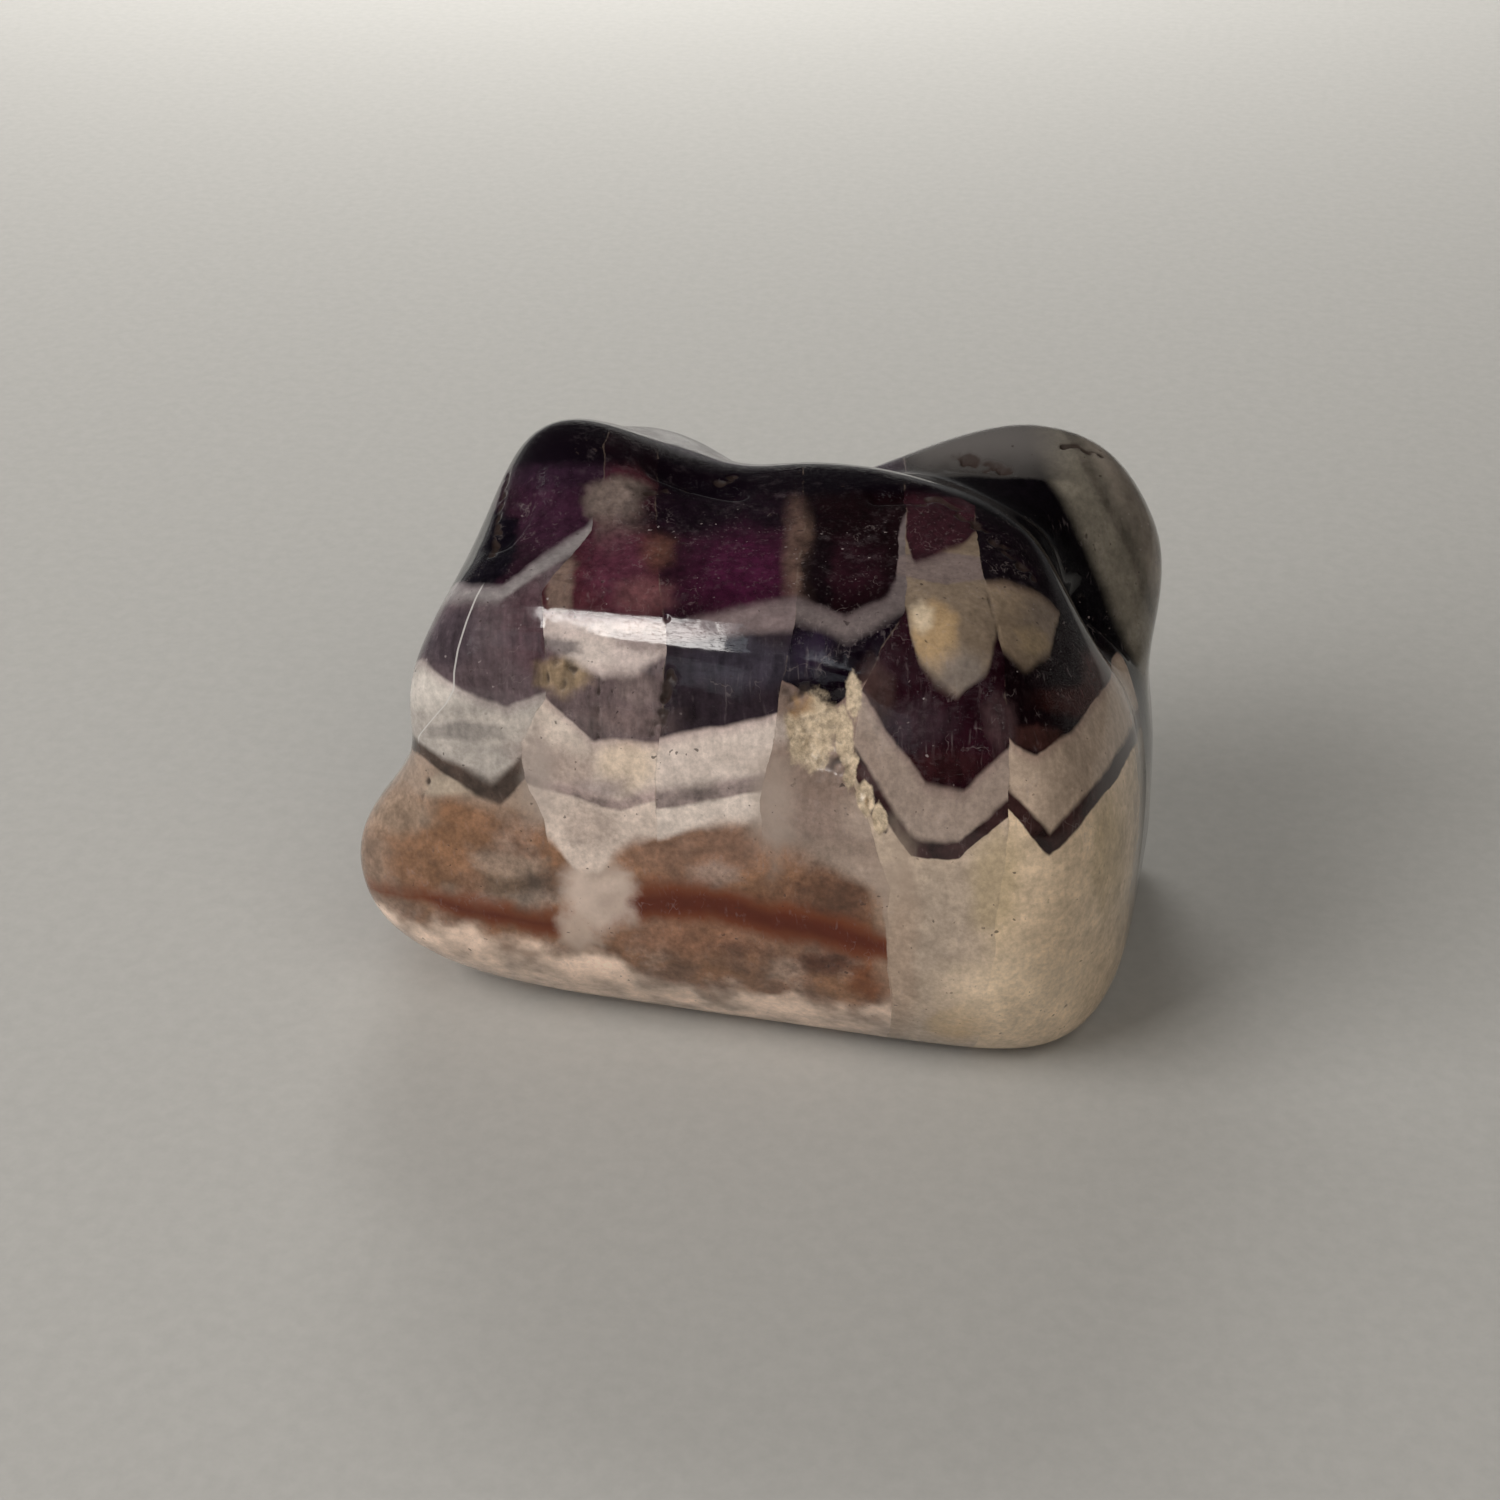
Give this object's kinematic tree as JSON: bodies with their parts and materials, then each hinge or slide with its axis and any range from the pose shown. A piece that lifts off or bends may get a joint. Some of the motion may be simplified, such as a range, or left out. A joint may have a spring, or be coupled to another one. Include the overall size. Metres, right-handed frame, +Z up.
{
  "type": "polished amethyst",
  "caption": "Tumbled, polished chevron amethyst with a hump, a lobe and a valley on top and a flat base, for display or as a paperweight.",
  "frame": {"origin": "middle of the stone's box, on the surface that it stands on", "axes": "+Z up, +X along the stone's length towards its rear lobe, -Y out of the face with the clearest chevrons"},
  "size_m": [0.0486, 0.034, 0.0321],
  "materials": {
    "polished_quartz": "polished dark purple, milky white and rust-brown banded quartz with small unpolished pits"
  },
  "bodies": {
    "root": {"amethyst": "polished_quartz"}
  },
  "joints": []
}
